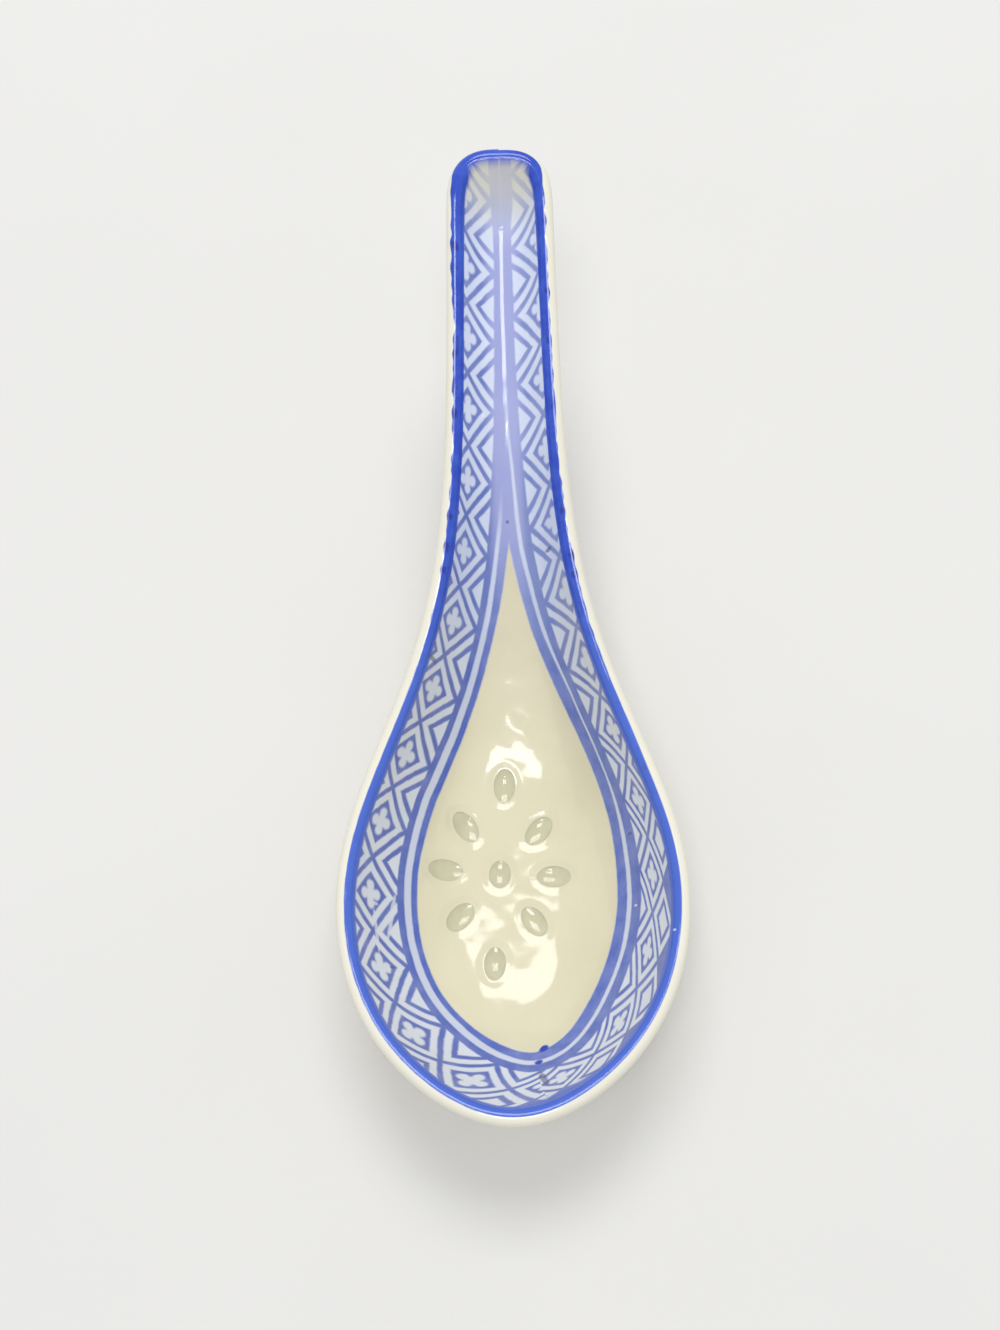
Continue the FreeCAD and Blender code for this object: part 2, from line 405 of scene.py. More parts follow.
@dataclass(frozen=True)
class BorderPlan:
    """The printed border: the well's edge, its ruled lines and the row of flowered lozenges."""

    form: PottedForm
    well_left: TeardropLine = TeardropLine(13.6, -1.3, 21.8, -2.2, 31.6, 2.0, 0.6, 2.0)
    well_right: TeardropLine = TeardropLine(13.8, -1.3, 21.8, -2.35, 33.8, 2.25, 0.6, 2.0)
    middle_left: TeardropLine = TeardropLine(19.1, -2.0, 26.6, 4.75, 28.9, 2.0)
    middle_right: TeardropLine = TeardropLine(18.6, -2.0, 26.6, 5.0, 31.6, 2.0)
    lines_left: RuledLines = RuledLines(
        y=(-12, 5, 12, 20, 35, 44, 54),
        edge=(0, -0.3, -0.3, -0.4, 0.3, 0.45, 0.45),
        gap=(1.6, 1.45, 1.6, 1.3, 1.85, 2.0, 2.0),
        half_gap=(0.6, 0.62, 0.66, 0.66, 0.46, 0.3, 0.22),
        lattice=(3.5, 3.45, 3.6, 3.2, 3.45, 3.55, 3.6),
    )
    lines_right: RuledLines = RuledLines(
        y=(-12, -3, 6, 14, 26, 34, 44, 54),
        edge=(0, 0.15, 0.3, 0.4, 0.3, 0.2, 0.35, 0.35),
        gap=(2.4, 2.5, 2.5, 2.75, 2.8, 2.2, 2.0, 2.35),
        half_gap=(0.36, 0.46, 0.42, 0.2, 0.2, 0.36, 0.33, 0.2),
        lattice=(4.6, 5.1, 5.0, 4.8, 4.6, 4.15, 3.95, 4.1),
    )
    flowers_left: FlowerRow = FlowerRow(
        first=5.7, pitch=10.03, tightening=0.021,
        lean_flowers=(0, 1, 2.5, 5.5, 9, 12), leans=(-0.45, -0.18, 0, 0.24, 0.2, 0.15),
    )
    flowers_right: FlowerRow = FlowerRow(
        first=6.25, pitch=10.54, tightening=0.052,
        lean_flowers=(0, 2, 5, 9, 12), leans=(0.1, 0.28, 0.34, 0.22, 0.16),
    )
    seam: float = 3.7
    toe_reach: float = -5.0
    least_half_lozenge: float = 2.5
    toe_y: float = -12.0
    toe_blend: tuple = (14.0, 10.0)
    block: int = 4000
    way_stations: int = 15

    def line(self, left: TeardropLine, right: TeardropLine) -> tuple[np.ndarray, int]:
        """Both halves of a line as one, from the left handle end round the toe to the right one.

        Args:
            left: the left half.
            right: the right half.

        Returns:
            The plan points and the index of the toe.
        """
        end_y = self.form.handle_reach + 1
        left_points = left.points(Side.LEFT, end_y)[::-1]
        right_points = right.points(Side.RIGHT, end_y)
        return np.concatenate([left_points, right_points[1:]]), len(left_points) - 1

    def nearest(self, places: np.ndarray, line: np.ndarray) -> tuple[np.ndarray, np.ndarray, np.ndarray]:
        """Nearest places of a line.

        Args:
            places: plan points.
            line: plan points of the line.

        Returns:
            For each place its index along the line with a fraction, the nearest point, and 1 outside the
            line or -1 inside it.
        """
        span = np.diff(line, axis=0)
        squared_length = np.maximum((span ** 2).sum(1), TINY)
        at, found, outside = [], [], []
        for block in np.array_split(places, max(1, len(places) // self.block)):
            offset = block[:, None, :] - line[None, :-1, :]
            share = np.clip((offset * span).sum(2) / squared_length, 0, 1)
            gap = offset - share[..., None] * span
            best = (gap ** 2).sum(2).argmin(1)
            row = np.arange(len(block))
            part = share[row, best]
            at.append(best + part)
            near = line[best] + part[:, None] * span[best]
            found.append(near)
            away = block - near
            cross = span[best, 0] * away[:, 1] - span[best, 1] * away[:, 0]
            outside.append(np.where(cross <= 0, 1.0, -1.0))
        return np.concatenate(at), np.concatenate(found), np.concatenate(outside)

    def surface_distance(self, start: np.ndarray, end: np.ndarray) -> np.ndarray:
        """Length over the inner surface between plan places, along straight plan lines.

        Args:
            start: plan points.
            end: as many plan points.

        Returns:
            The length between each pair.
        """
        t = np.linspace(0, 1, self.way_stations)[:, None, None]
        way = start + (end - start) * t
        points = self.form.floor_points(way[..., 0], way[..., 1])
        return np.linalg.norm(np.diff(points, axis=0), axis=2).sum(0)

    def coordinates(self, places: np.ndarray, side: Side) -> tuple[np.ndarray, np.ndarray, np.ndarray]:
        """Where places lie in the border of one half.

        Args:
            places: plan points.
            side: the half whose lines count.

        Returns:
            Travel along the border's middle line, negative on the left; distance outward from that line;
            distance outward from the well's edge, all in millimetres over the surface.
        """
        results = []
        for left, right in ((self.middle_left, self.middle_right), (self.well_left, self.well_right)):
            line, toe = self.line(left, right)
            at_toe = line[:, 1] <= self.toe_reach
            first = int(np.argmax(at_toe)) if side is Side.RIGHT else 0
            last = len(line) if side is Side.RIGHT else len(line) - int(np.argmax(at_toe[::-1]))
            at, found, outside = self.nearest(places, line[first:last])
            travel = arc_lengths(self.form.floor_points(line[:, 0], line[:, 1]))
            travel = np.interp(at + first, np.arange(len(line)), travel - travel[toe])
            results.append((travel, outside * self.surface_distance(found, places)))
        (travel, across), (_, from_well) = results
        return travel, across, from_well

    def repeats(
        self, travel: np.ndarray, across: np.ndarray, half_lozenge: np.ndarray, right_of_seam: np.ndarray,
    ) -> np.ndarray:
        """Border coordinates in repeats of the flower pattern.

        Args:
            travel: millimetres along the middle line, negative on the left.
            across: millimetres outward from it.
            half_lozenge: millimetres from the middle line to the outer ruled line.
            right_of_seam: whether the right half's row counts.

        Returns:
            Rows of repeats along and repeats across, with a flower's middle at each whole number.
        """
        rows = []
        out = across / (2 * half_lozenge)
        for row, way in ((self.flowers_left, -travel), (self.flowers_right, travel)):
            count = row.count(way)
            rows.append(count + row.lean(count) * out)
        return np.stack([np.where(right_of_seam, rows[1], rows[0]), out], axis=-1)

    def ruled_lines(self, places: np.ndarray, right: np.ndarray) -> np.ndarray:
        """The ruled lines' edges at places of either half.

        Args:
            places: plan points.
            right: whether the right half's lines count.

        Returns:
            Rows of the well's edge, the white gap's start and end, and where the lattice starts.
        """
        x, y = places.T
        across, along = self.toe_blend
        front = np.clip((self.toe_y - y) / along, 0, 1)
        share = np.where(right, 1.0, 0.0) * (1 - front) + front * np.clip(0.5 + x / across, 0, 1)
        left_lines, right_lines = self.lines_left.at(y), self.lines_right.at(y)
        return left_lines + (right_lines - left_lines) * share[:, None]


# ------------------------------------------------------------------------------------- shader maths
class Shade:
    """A shader value, with arithmetic written as Python operators."""

    def __init__(self, dresser: "Dresser", socket: bpy.types.NodeSocket) -> None:
        """Wrap an output socket."""
        self.dresser = dresser
        self.socket = socket

    def __add__(self, other: "Shade | float") -> "Shade":
        """Sum."""
        return self.dresser.math("ADD", self, other)

    def __sub__(self, other: "Shade | float") -> "Shade":
        """Difference."""
        return self.dresser.math("SUBTRACT", self, other)

    def __rsub__(self, other: float) -> "Shade":
        """Difference from a number."""
        return self.dresser.math("SUBTRACT", other, self)

    def __mul__(self, other: "Shade | float") -> "Shade":
        """Product."""
        return self.dresser.math("MULTIPLY", self, other)

    def __truediv__(self, other: "Shade | float") -> "Shade":
        """Quotient."""
        return self.dresser.math("DIVIDE", self, other)

    __radd__ = __add__
    __rmul__ = __mul__

    def size(self) -> "Shade":
        """Absolute value."""
        return self.dresser.math("ABSOLUTE", self)

    def root(self) -> "Shade":
        """Square root."""
        return self.dresser.math("SQRT", self)

    def whole(self) -> "Shade":
        """Nearest whole number."""
        return self.dresser.math("ROUND", self)

    def at_least(self, other: "Shade | float") -> "Shade":
        """The larger of the two."""
        return self.dresser.math("MAXIMUM", self, other)

    def at_most(self, other: "Shade | float") -> "Shade":
        """The smaller of the two."""
        return self.dresser.math("MINIMUM", self, other)

    def rises(self, low: "Shade | float", high: "Shade | float") -> "Shade":
        """Smooth step.

        Args:
            low: where it starts from 0.
            high: where it reaches 1.

        Returns:
            The step.
        """
        settings = {"interpolation_type": "SMOOTHSTEP"}
        sockets = {"Value": self, "From Min": low, "From Max": high}
        return self.dresser.shade("ShaderNodeMapRange", settings, sockets, "Result")

    def over(self, edge: "Shade | float", blur: float) -> "Shade":
        """1 above an edge and 0 below it.

        Args:
            edge: where the step is.
            blur: width over which it passes.

        Returns:
            The step.
        """
        return (self - edge).rises(-blur / 2, blur / 2)

    def between(self, low: "Shade | float", high: "Shade | float", blur: float) -> "Shade":
        """1 between two edges.

        Args:
            low: the lower edge.
            high: the upper edge.
            blur: width over which each edge passes.

        Returns:
            The band.
        """
        return self.over(low, blur) * (1 - self.over(high, blur))

    def patches(self, middle: float, contrast: float) -> "Shade":
        """Soft patches between 0 and 1, made from noise around 0.

        Args:
            middle: the value where the noise is 0.
            contrast: how much the noise changes it.

        Returns:
            The patches.
        """
        return (middle + self * contrast).rises(0.0, 1.0)


def linear(red: int, green: int, blue: int) -> tuple[float, float, float, float]:
    """Scene-linear colour.

    Args:
        red: as seen on a screen, 0 to 255.
        green: the same.
        blue: the same.

    Returns:
        The linear colour with alpha 1.
    """
    def channel(value: int) -> float:
        """One channel, made linear."""
        share = value / 255
        return share / 12.92 if share <= 0.04045 else ((share + 0.055) / 1.055) ** 2.4

    return channel(red), channel(green), channel(blue), 1.0


class Dresser:
    """Builds the nodes of one material or of the world."""

    def __init__(self, owner: "bpy.types.Material | bpy.types.World") -> None:
        """Start with no nodes."""
        self.owner = owner
        owner.use_nodes = True
        self.tree = owner.node_tree
        self.tree.nodes.clear()

    @classmethod
    def material(cls, name: str) -> "Dresser":
        """Start a new material."""
        return cls(bpy.data.materials.new(name))

    def node(self, kind: str, settings: dict, sockets: dict) -> bpy.types.Node:
        """Add a node.

        Args:
            kind: the node's type.
            settings: its own settings, set first.
            sockets: values or links of its inputs, by name or index.

        Returns:
            The node.
        """
        made = self.tree.nodes.new(kind)
        for key, value in settings.items():
            setattr(made, key, value)
        for key, value in sockets.items():
            if isinstance(value, Shade):
                self.tree.links.new(value.socket, made.inputs[key])
            else:
                made.inputs[key].default_value = value
        return made

    def shade(self, kind: str, settings: dict, sockets: dict, output: "str | int" = 0) -> Shade:
        """Add a node and take one of its outputs.

        Args:
            kind: the node's type.
            settings: its own settings.
            sockets: its inputs.
            output: the output's name or index.

        Returns:
            The output's value.
        """
        return Shade(self, self.node(kind, settings, sockets).outputs[output])

    def math(self, operation: str, *values: "Shade | float") -> Shade:
        """Add a Math node on values."""
        return self.shade("ShaderNodeMath", {"operation": operation}, dict(enumerate(values)))

    def mix(self, factor: "Shade | float", below: "Shade | tuple", above: "Shade | tuple") -> Shade:
        """Blend two colours.

        Args:
            factor: 0 for the first, 1 for the second.
            below: the first colour.
            above: the second colour.

        Returns:
            The blended colour.
        """
        return self.shade("ShaderNodeMix", {"data_type": "RGBA"}, {0: factor, 6: below, 7: above}, 2)

    def parts(self, vector: Shade) -> tuple[Shade, Shade, Shade]:
        """The three numbers of a vector."""
        made = self.node("ShaderNodeSeparateXYZ", {}, {0: vector})
        return tuple(Shade(self, output) for output in made.outputs)

    def attribute(self, name: str, output: str = "Vector") -> Shade:
        """A value stored on the mesh."""
        return self.shade("ShaderNodeAttribute", {"attribute_name": name}, {}, output)

    def object_place(self) -> Shade:
        """The place on the piece, in metres."""
        return self.shade("ShaderNodeTexCoord", {}, {}, "Object")

    def cloud(self, place: Shade, wavelength: float, detail: float = 2.0, offset: float = 0.0) -> Shade:
        """Smooth noise around 0.

        Args:
            place: where it is read, in metres.
            wavelength: size of its blobs, in millimetres.
            detail: octaves of finer noise.
            offset: moves the noise, so that two don't look alike.

        Returns:
            Noise from about -0.5 to 0.5.
        """
        moved = self.shade("ShaderNodeVectorMath", {"operation": "ADD"}, {0: place, 1: (offset,) * 3})
        sockets = {"Vector": moved, "Scale": 1 / (wavelength * MM), "Detail": detail}
        return self.shade("ShaderNodeTexNoise", {}, sockets, 0) - 0.5

    def finish(self, look: dict) -> bpy.types.Material:
        """Connect the surface.

        Args:
            look: the surface shader's values and links by name.

        Returns:
            The material.
        """
        surface = self.shade("ShaderNodeBsdfPrincipled", {}, look)
        self.node("ShaderNodeOutputMaterial", {}, {"Surface": surface})
        return self.owner

    def relief(self, height: Shade, reach: float) -> Shade:
        """A fine unevenness of the surface.

        Args:
            height: the unevenness.
            reach: how high 1 stands, in metres.

        Returns:
            The normal.
        """
        sockets = {"Strength": 1.0, "Distance": reach, "Height": height}
        return self.shade("ShaderNodeBump", {}, sockets, "Normal")


# ------------------------------------------------------------------------------------------ finishes
@dataclass(frozen=True)
class SpoonPlace:
    """Where a shaded point lies on the spoon, and how uneven the hand's work is there.

    x, y, z and down are in millimetres, down being the way over the surface from the inner rim. left, right
    and on_handle are masks. The rest is noise around 0, from the slow drift of the print to its grain.
    """

    nodes: Dresser
    place: Shade
    x: Shade
    y: Shade
    z: Shade
    down: Shade
    left: Shade
    right: Shade
    on_handle: Shade
    drift_along: Shade
    drift_across: Shade
    grain: Shade
    beads: Shade
    mottle: Shade

    @classmethod
    def read(cls, nodes: Dresser) -> "SpoonPlace":
        """Read the place on the piece.

        Args:
            nodes: the material's nodes.

        Returns:
            The place.
        """
        place = nodes.object_place()
        x, y, z = (value * (1 / MM) for value in nodes.parts(place))
        right = x.over(0.0, 0.4)
        return cls(
            nodes, place, x, y, z, nodes.attribute("rim", "Fac"),
            left=1 - right,
            right=right,
            on_handle=y.rises(20, 46),
            drift_along=nodes.cloud(place, 4.5, 2.0, 0.31),
            drift_across=nodes.cloud(place, 5.5, 2.0, 0.77),
            grain=nodes.cloud(place, 0.8, 2.0, 0.13),
            beads=nodes.cloud(place, 1.7, 0.0, 0.57),
            mottle=nodes.cloud(place, 2.6, 3.0, 0.5),
        )


@dataclass(frozen=True)
class PrintMark:
    """A small mark at a plan place in millimetres: of the hand-laid print, of the glaze, and in two pale
    streaks partly a painted highlight.
    """

    x: float
    y: float
    length: float
    width: float
    heading: float = 0.0
    fades: tuple = (0.7, 1.3)

    def mask(self, at: SpoonPlace) -> Shade:
        """1 on the mark.

        Args:
            at: the place that is shaded.

        Returns:
            The mark's mask, with an uneven edge.
        """
        cos, sin = math.cos(self.heading), math.sin(self.heading)
        x, y = at.x - self.x, at.y - self.y
        along = (x * cos + y * sin) / (self.length / 2)
        across = (y * cos - x * sin) / (self.width / 2)
        return 1 - ((along * along + across * across).root() + at.grain).rises(*self.fades)


def marked(at: SpoonPlace, marks: tuple) -> Shade:
    """1 on any of some marks.

    Args:
        at: the place that is shaded.
        marks: the marks.

    Returns:
        Their mask.
    """
    masks = [mark.mask(at) for mark in marks]
    whole = masks[0]
    for mask in masks[1:]:
        whole = whole.at_least(mask)
    return whole


@dataclass(frozen=True)
class CobaltInk:
    """The underglaze blues, each as it shows through the glaze."""

    band: tuple = linear(28, 66, 182)
    band_thin: tuple = linear(58, 94, 200)
    band_bowl: tuple = linear(76, 110, 204)
    bead: tuple = linear(14, 42, 142)
    line: tuple = linear(122, 137, 196)
    line_deep: tuple = linear(88, 108, 184)
    handle: tuple = linear(160, 165, 214)
    blot: tuple = linear(46, 68, 178)
    speck: tuple = linear(74, 82, 132)

    def lines(self, at: SpoonPlace) -> Shade:
        """Colour of the ruled lines and the lattice.

        Args:
            at: the place that is shaded.

        Returns:
            The colour, deeper in patches and on the left half, paler on the handle's right half as a painted
            reflection, and thin along the middle of the handle.
        """
        # The handle's right half gets paler lines: a painted reflection, sheen painted into the ink's colour.
        deep_and_painted_sheen = (0.5 + at.mottle * 1.6 + at.left * 0.25 - at.on_handle * at.right * 0.4).rises(0.0, 1.0)
        middle = (1 - at.x.size().over(2.2, 1.8)) * at.y.rises(34, 50)
        return at.nodes.mix(middle * 0.9, at.nodes.mix(deep_and_painted_sheen, self.line, self.line_deep), self.handle)

    def solid(self, at: SpoonPlace, ragged: Shade) -> Shade:
        """Colour of the solid band.

        Args:
            at: the place that is shaded.
            ragged: where the band's outer edge is beaded.

        Returns:
            The colour, paler round the bowl and dark in the beads.
        """
        nodes = at.nodes
        colour = nodes.mix(at.mottle.patches(0.32, 1.5), self.band, self.band_thin)
        colour = nodes.mix((1 - at.on_handle) * 0.7, colour, self.band_bowl)
        bead = ragged * (at.beads * 1.6).rises(0.12, 0.5) * (1 - at.down.over(-0.75, 0.5))
        return nodes.mix(bead, colour, self.bead)


@dataclass(frozen=True)
class FloweredLattice:
    """Lozenges in rings, every second one with a four-petalled flower, in shares of one repeat."""

    lozenge_edge: float = 0.447
    ring_edge: float = 0.313
    heart: float = 0.205
    lobe_out: float = 0.119
    lobe_radius: float = 0.075
    blur: float = 0.05

    def ink(self, along: Shade, across: Shade) -> Shade:
        """Ink of the lattice.

        Args:
            along: repeats along the border.
            across: repeats across it.

        Returns:
            1 where there is ink.
        """
        du = (along - along.whole()).size()
        dv = across.size()
        from_flower = du + dv
        from_plain = (0.5 - du).size() + (0.5 - dv).size()
        plain = from_flower.over(0.5, 0.01)
        distance = from_flower.at_most(from_plain)
        white_ring = distance.between(self.ring_edge, self.lozenge_edge, self.blur)
        far_along, far_across = du - self.lobe_out, dv - self.lobe_out
        lobes = (far_along * far_along + dv * dv).at_most(du * du + far_across * far_across)
        flower = 1 - lobes.at_most((du * du + dv * dv) * 0.5).root().over(self.lobe_radius, self.blur)
        heart = 1 - distance.over(self.heart, self.blur)
        white = flower * (1 - plain) + heart * plain
        return 1 - white.at_least(white_ring)


@dataclass(frozen=True)
class RuledPrint:
    """The two ruled lines and the lattice outside them, laid a little unevenly by hand."""

    lattice: FloweredLattice = FloweredLattice()
    drift: float = 0.05
    grain: float = 0.014
    line_drift: float = 0.3
    line_grain: float = 0.12
    line_blur: float = 0.34
    gap_closes_left: tuple = (44, 53)
    gap_fades_right: tuple = (52, 66)
    gap_fading: float = 0.6
    gap_clearness: float = 0.86

    def ink(self, at: SpoonPlace) -> tuple[Shade, Shade]:
        """Ink of the lines and the lattice.

        Args:
            at: the place that is shaded.

        Returns:
            1 where there is ink, and 1 outside the well's edge.
        """
        along, across, from_well = at.nodes.parts(at.nodes.attribute("border"))
        gap_start, gap_end, lattice_start = at.nodes.parts(at.nodes.attribute("rule"))
        lattice = self.lattice.ink(
            along + at.drift_along * self.drift + at.grain * self.grain,
            across + at.drift_across * self.drift + at.grain * self.grain,
        )
        ruled = from_well + at.drift_across * self.line_drift + at.grain * self.line_grain
        closed = at.left * at.y.rises(*self.gap_closes_left)
        faded = at.right * at.y.rises(*self.gap_fades_right) * self.gap_fading
        gap = ruled.between(gap_start, gap_end, self.line_blur)
        gap = gap * (1 - closed) * (1 - faded) * self.gap_clearness
        in_lattice = ruled.over(lattice_start, self.line_blur)
        printed = ruled.over(0.0, self.line_blur)
        return ((1 - gap) * (1 - in_lattice) + lattice * in_lattice) * printed, printed


@dataclass(frozen=True)
class RimBand:
    """The solid band round the rim, in millimetres down the inner side, with places along the spoon."""

    inner: float = 0.7
    inner_on_handle: float = 0.15
    inner_far_end: float = 0.6
    inner_cap: float = 1.1
    inner_drift: float = 0.5
    blur: float = 0.35
    blur_bowl: float = 0.3
    blur_end: float = 0.9
    blur_smudge: float = 1.2
    outer: float = -1.42
    outer_beads: float = 0.65
    outer_neck: float = 0.25
    outer_left_end: float = 0.5
    outer_end: float = 0.6
    outer_blur: float = 0.16
    lip_blur: float = 0.2
    drift: float = 0.12
    far_end: tuple = (76, 88)
    cap: tuple = (87.3, 89.3)
    toe: tuple = (-29, -24)
    toe_right: tuple = (1.0, 5.0)
    beads_end: tuple = (84, 89)
    right_neck: tuple = (16, 42)
    neck_blur: float = 12.0
    left_end: tuple = (68, 80)
    over_end: tuple = (86, 90)

    def ink(self, at: SpoonPlace) -> tuple[Shade, Shade, Shade]:
        """Ink of the band.

        Args:
            at: the place that is shaded.

        Returns:
            1 on the band, 1 inward of its outer edge, and 1 where that edge is beaded.
        """
        y = at.y
        far_end, cap = y.rises(*self.far_end), y.rises(*self.cap)
        smudge = (1 - y.rises(*self.toe)) * at.x.rises(*self.toe_right)
        ragged = at.on_handle * (1 - y.rises(*self.beads_end))
        neck = at.right * y.between(*self.right_neck, self.neck_blur)

        blur = self.blur + (1 - at.on_handle) * self.blur_bowl
        blur = blur + far_end * self.blur_end + cap * self.blur_end + smudge * self.blur_smudge
        inner = self.inner - at.on_handle * self.inner_on_handle + far_end * self.inner_far_end
        inner = inner - cap * self.inner_cap + smudge + at.drift_along * self.inner_drift
        outer = self.outer - at.beads * ragged * self.outer_beads - neck * self.outer_neck
        outer = outer - at.left * y.rises(*self.left_end) * self.outer_left_end
        outer = outer - y.rises(*self.over_end) * self.outer_end

        down = at.down + at.drift_along * self.drift
        band = (1 - ((down - inner) / blur).rises(-0.5, 0.5)) * down.over(outer, self.outer_blur)
        return band, at.down.over(outer, self.lip_blur), ragged


@dataclass(frozen=True)
class PorcelainFinish:
    """Cream glazed porcelain with the printed cobalt border, and a bare ring to stand on."""

    ink: CobaltInk = CobaltInk()
    ruled: RuledPrint = RuledPrint()
    band: RimBand = RimBand()
    well: tuple = linear(226, 219, 187)
    well_deep: tuple = linear(219, 211, 178)
    ground: tuple = linear(218, 223, 230)
    ground_handle: tuple = linear(218, 225, 239)
    lip: tuple = linear(230, 227, 212)
    outside: tuple = linear(228, 225, 209)
    bare: tuple = linear(214, 198, 170)
    bare_dark: tuple = linear(176, 150, 118)
    bare_height: float = 0.32
    bare_blur: float = 0.12
    end_cream: tuple = (82, 89)
    end_faint: tuple = (80, 90)
    lip_turn: tuple = (1.2, 4.0)
    inner_edge: float = -1.2
    roughness: float = 0.075
    mottled_roughness: float = 0.05
    bare_roughness: float = 0.5
    ripple: float = 0.9
    short_ripple: float = 0.15
    well_ripple: float = 0.5
    halo_width: float = 1.3
    halo_rise: float = 0.36
    relief: float = 0.00035
    blots: tuple = (PrintMark(3.6, -22.6, 1.5, 0.8, 0.6), PrintMark(3.0, -24.6, 1.1, 0.6, 0.3))
    specks: tuple = (
        PrintMark(-10.5, 28.5, 0.9, 0.7), PrintMark(17.9, 12.8, 0.9, 0.7, 2.0),
        PrintMark(5.5, 43.3, 0.8, 0.6), PrintMark(-16.3, -12.0, 0.6, 0.4), PrintMark(-0.1, 48.0, 0.4, 0.4),
        PrintMark(15.8, 5.9, 0.5, 0.4), PrintMark(3.7, -27.2, 2.2, 0.9, -1.0),
    )
    # Pale marks: the two long streaks on the bowl's left wall are partly gaps in the print and partly a
    # painted highlight, a white reflection painted into the colour; the other four are small pale spots.
    pale: tuple = (
        PrintMark(-16.6, -5.0, 7.0, 0.5, 1.45), PrintMark(-18.3, -7.5, 6.0, 0.35, 1.7),
        PrintMark(5.3, 46.4, 0.5, 0.5), PrintMark(16.3, -3.8, 0.4, 0.35), PrintMark(21.0, -9.0, 0.4, 0.35),
        PrintMark(-18.5, -3.7, 0.6, 0.5),
    )

    def clay(self, at: SpoonPlace, printed: Shade, above_lip: Shade) -> Shade:
        """Colour of the glazed ware without its print.

        Args:
            at: the place that is shaded.
            printed: 1 outside the well's edge.
            above_lip: 1 inward of the band's outer edge.

        Returns:
            The colour: cream in the well and at the handle's end, white under the print, warm outside, and a
                little whiter on the lip's inner side as a faint painted highlight.
        """
        mix = at.nodes.mix
        well = mix(at.nodes.cloud(at.place, 14, 2.0, 0.9).patches(0.5, 1.4), self.well, self.well_deep)
        ground = mix(printed, well, mix(at.on_handle, self.ground, self.ground_handle))
        ground = mix(at.y.rises(*self.end_cream) * 0.7, ground, self.well)
        # The lip's inner side is a little whiter than the outer wall: a faint painted highlight.
        outer = mix((0 - at.down).rises(*self.lip_turn), self.lip, self.outside)
        return mix(above_lip, outer, ground)

    def build(self) -> bpy.types.Material:
        """Make the material.

        Returns:
            The material, which reads the mesh's border, rule, rim and halo attributes.
        """
        nodes = Dresser.material("blue_and_white_porcelain")
        at = SpoonPlace.read(nodes)
        ruled, printed = self.ruled.ink(at)
        band, above_lip, ragged = self.band.ink(at)
        mist = nodes.cloud(at.place, 12.0, 1.0, 0.05)
        faint = (1 - band) * (at.y.rises(*self.end_faint) * 0.6 + at.on_handle * (0.5 + mist) * 0.2)
        ink = ruled.at_least(band) * above_lip * (1 - faint)

        inner_face = at.down.over(self.inner_edge, 0.3)
        # Pale marks take the ink away: in the two long streaks on the left wall this is partly a painted
        # highlight.
        pale = inner_face * marked(at, self.pale)
        speck = inner_face * marked(at, self.specks) * (1 - pale)
        blue = nodes.mix(band, self.ink.lines(at), self.ink.solid(at, ragged))
        colour = nodes.mix(ink * (1 - pale * 0.75), self.clay(at, printed, above_lip), blue)
        colour = nodes.mix(inner_face * marked(at, self.blots), colour, self.ink.blot)
        colour = nodes.mix(speck * 0.7, colour, self.ink.speck)
        bare = 1 - at.z.over(self.bare_height + at.grain * 0.2, self.bare_blur)
        colour = nodes.mix(bare, colour, nodes.mix(at.grain.patches(0.35, 1.6), self.bare, self.bare_dark))

        in_well = (1 - printed) * inner_face
        short_ripple = self.short_ripple + in_well * self.well_ripple
        ripple = nodes.cloud(at.place, 9.0, 1.0, 0.2) * self.ripple
        ripple = ripple + nodes.cloud(at.place, 4.5, 1.0, 0.6) * short_ripple
        pooled = nodes.attribute("halo", "Fac").rises(0.0, self.halo_width) * self.halo_rise
        rough = self.roughness + (at.mottle + 0.5) * self.mottled_roughness + bare * self.bare_roughness
        return nodes.finish({
            "Base Color": colour, "Roughness": rough,
            "Normal": nodes.relief(ripple + pooled, self.relief), "IOR": GLAZE_IOR,
            "Subsurface Weight": 0.12, "Subsurface Radius": (1.4, 1.2, 0.9), "Subsurface Scale": 0.001,
        })


@dataclass(frozen=True)
class WindowGlazeFinish:
    """Clear olive-grey glaze that fills a pierced window; its colour is darker than the well partly as painted
    shade, for the shadowed hollow under the bowl that shows through it.
    """

    # Darker than the well's cream partly as painted shade: the shadowed hollow inside the foot ring, seen
    # through the glaze.
    glaze: tuple = linear(215, 210, 175)
    thick: tuple = linear(205, 200, 165)
    relief: float = 0.00006

    def build(self) -> bpy.types.Material:
        """Make the material.

        Returns:
            The material.
        """
        nodes = Dresser.material("window_glaze")
        place = nodes.object_place()
        cloudy = nodes.cloud(place, 2.0, 2.0, 0.4).patches(0.5, 1.5)
        return nodes.finish({
            "Base Color": nodes.mix(cloudy, self.glaze, self.thick), "Roughness": 0.05 + cloudy * 0.04,
            "Normal": nodes.relief(nodes.cloud(place, 1.8, 1.0, 0.8), self.relief), "IOR": GLAZE_IOR,
            "Transmission Weight": 0.06,
            "Subsurface Weight": 0.3, "Subsurface Radius": (1.4, 1.3, 1.0), "Subsurface Scale": 0.001,
        })


